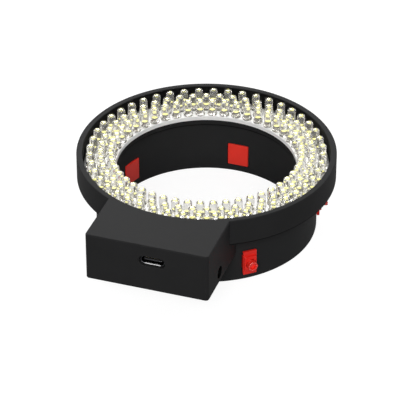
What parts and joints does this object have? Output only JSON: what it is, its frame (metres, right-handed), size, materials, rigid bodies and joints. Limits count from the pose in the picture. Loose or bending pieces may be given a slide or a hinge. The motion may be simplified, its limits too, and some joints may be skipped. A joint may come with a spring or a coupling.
{
  "type": "microscope ring light",
  "caption": "Round microscope ring light: lamps in a shallow housing with a radial control box, on a collar whose screw-driven pads grip the lens barrel.",
  "frame": {"origin": "centre of the bounding box's base, at the level of the mount collar's foot", "axes": "+Z along the lens axis, from the collar's foot to the lamps' side; +Y from the control box to the far side of the ring; the small button's side of the box faces +X"},
  "size_m": [0.094, 0.1118, 0.0304],
  "materials": {
    "black_plastic": "fine-grained matt black",
    "collar_plastic": "fine-grained matt black",
    "white_board": "white solder mask, with water-clear lamps",
    "red_plastic": "bright red, satin",
    "plated_steel": "plated",
    "driver_laminate": "green laminate",
    "component_grey": "matt grey",
    "lead_red": "red insulation",
    "lead_black": "black insulation"
  },
  "bodies": {
    "housing": {"light_housing": "black_plastic", "box_cover": "black_plastic", "usb_tongue": "black_plastic", "mount_collar": "collar_plastic", "led_board": "white_board", "driver_board": "driver_laminate", "driver_chip": "component_grey", "driver_inductor": "component_grey", "dimmer_switch": "component_grey", "usb_shell": "plated_steel", "lead_wire_plus": "lead_red", "lead_wire_minus": "lead_black", "clamp_plate_1": "red_plastic", "clamp_plate_2": "red_plastic", "clamp_plate_3": "red_plastic", "clamp_plate_4": "red_plastic", "clamp_plate_5": "red_plastic", "cover_screw_1": "plated_steel", "cover_screw_2": "plated_steel", "cover_screw_3": "plated_steel", "cover_screw_4": "plated_steel", "collar_screw_1": "plated_steel", "collar_screw_2": "plated_steel", "collar_screw_3": "plated_steel", "collar_screw_4": "plated_steel", "board_screw_1": "plated_steel", "board_screw_2": "plated_steel"},
    "pad_1": {"clamp_pad_1": "red_plastic"},
    "screw_1": {"thumbscrew_1": "red_plastic"},
    "pad_2": {"clamp_pad_2": "red_plastic"},
    "screw_2": {"thumbscrew_2": "red_plastic"},
    "pad_3": {"clamp_pad_3": "red_plastic"},
    "screw_3": {"thumbscrew_3": "red_plastic"},
    "pad_4": {"clamp_pad_4": "red_plastic"},
    "screw_4": {"thumbscrew_4": "red_plastic"},
    "pad_5": {"clamp_pad_5": "red_plastic"},
    "screw_5": {"thumbscrew_5": "red_plastic"},
    "button": {"dimmer_button": "black_plastic"}
  },
  "joints": [
    {"name": "pad_slide_1", "type": "slide", "parent": "housing", "child": "pad_1", "axis": [-0.0262, -0.9997, 0], "range_m": [0, 0.0028]},
    {"name": "thumbscrew_turn_1", "type": "hinge", "parent": "pad_1", "child": "screw_1", "pos_m": [0.00116, 0.05334, 0.0072], "axis": [-0.0262, -0.9997, 0], "range_deg": [0, 1440]},
    {"name": "pad_slide_2", "type": "slide", "parent": "housing", "child": "pad_2", "axis": [-0.9367, -0.3502, 0], "range_m": [0, 0.0028]},
    {"name": "thumbscrew_turn_2", "type": "hinge", "parent": "pad_2", "child": "screw_2", "pos_m": [0.04163, 0.02447, 0.0072], "axis": [-0.9367, -0.3502, 0], "range_deg": [0, 1440]},
    {"name": "pad_slide_3", "type": "slide", "parent": "housing", "child": "pad_3", "axis": [-0.6494, 0.7604, 0], "range_m": [0, 0.0028]},
    {"name": "thumbscrew_turn_3", "type": "hinge", "parent": "pad_3", "child": "screw_3", "pos_m": [0.02887, -0.0249, 0.0072], "axis": [-0.6494, 0.7604, 0], "range_deg": [0, 1440]},
    {"name": "pad_slide_4", "type": "slide", "parent": "housing", "child": "pad_4", "axis": [0.6494, 0.7604, 0], "range_m": [0, 0.0028]},
    {"name": "thumbscrew_turn_4", "type": "hinge", "parent": "pad_4", "child": "screw_4", "pos_m": [-0.02887, -0.0249, 0.0072], "axis": [0.6494, 0.7604, 0], "range_deg": [0, 1440]},
    {"name": "pad_slide_5", "type": "slide", "parent": "housing", "child": "pad_5", "axis": [0.9511, -0.309, 0], "range_m": [0, 0.0028]},
    {"name": "thumbscrew_turn_5", "type": "hinge", "parent": "pad_5", "child": "screw_5", "pos_m": [-0.04227, 0.02264, 0.0072], "axis": [0.9511, -0.309, 0], "range_deg": [0, 1440]},
    {"name": "button_press", "type": "slide", "parent": "housing", "child": "button", "axis": [-1, 0, 0], "range_m": [0, 0.0004], "stiffness_N_per_m": 400}
  ],
  "couplings": [
    {"joint": "thumbscrew_turn_1", "follows": "pad_slide_1", "rad_per_m": 8975.9},
    {"joint": "thumbscrew_turn_2", "follows": "pad_slide_2", "rad_per_m": 8975.9},
    {"joint": "thumbscrew_turn_3", "follows": "pad_slide_3", "rad_per_m": 8975.9},
    {"joint": "thumbscrew_turn_4", "follows": "pad_slide_4", "rad_per_m": 8975.9},
    {"joint": "thumbscrew_turn_5", "follows": "pad_slide_5", "rad_per_m": 8975.9}
  ]
}
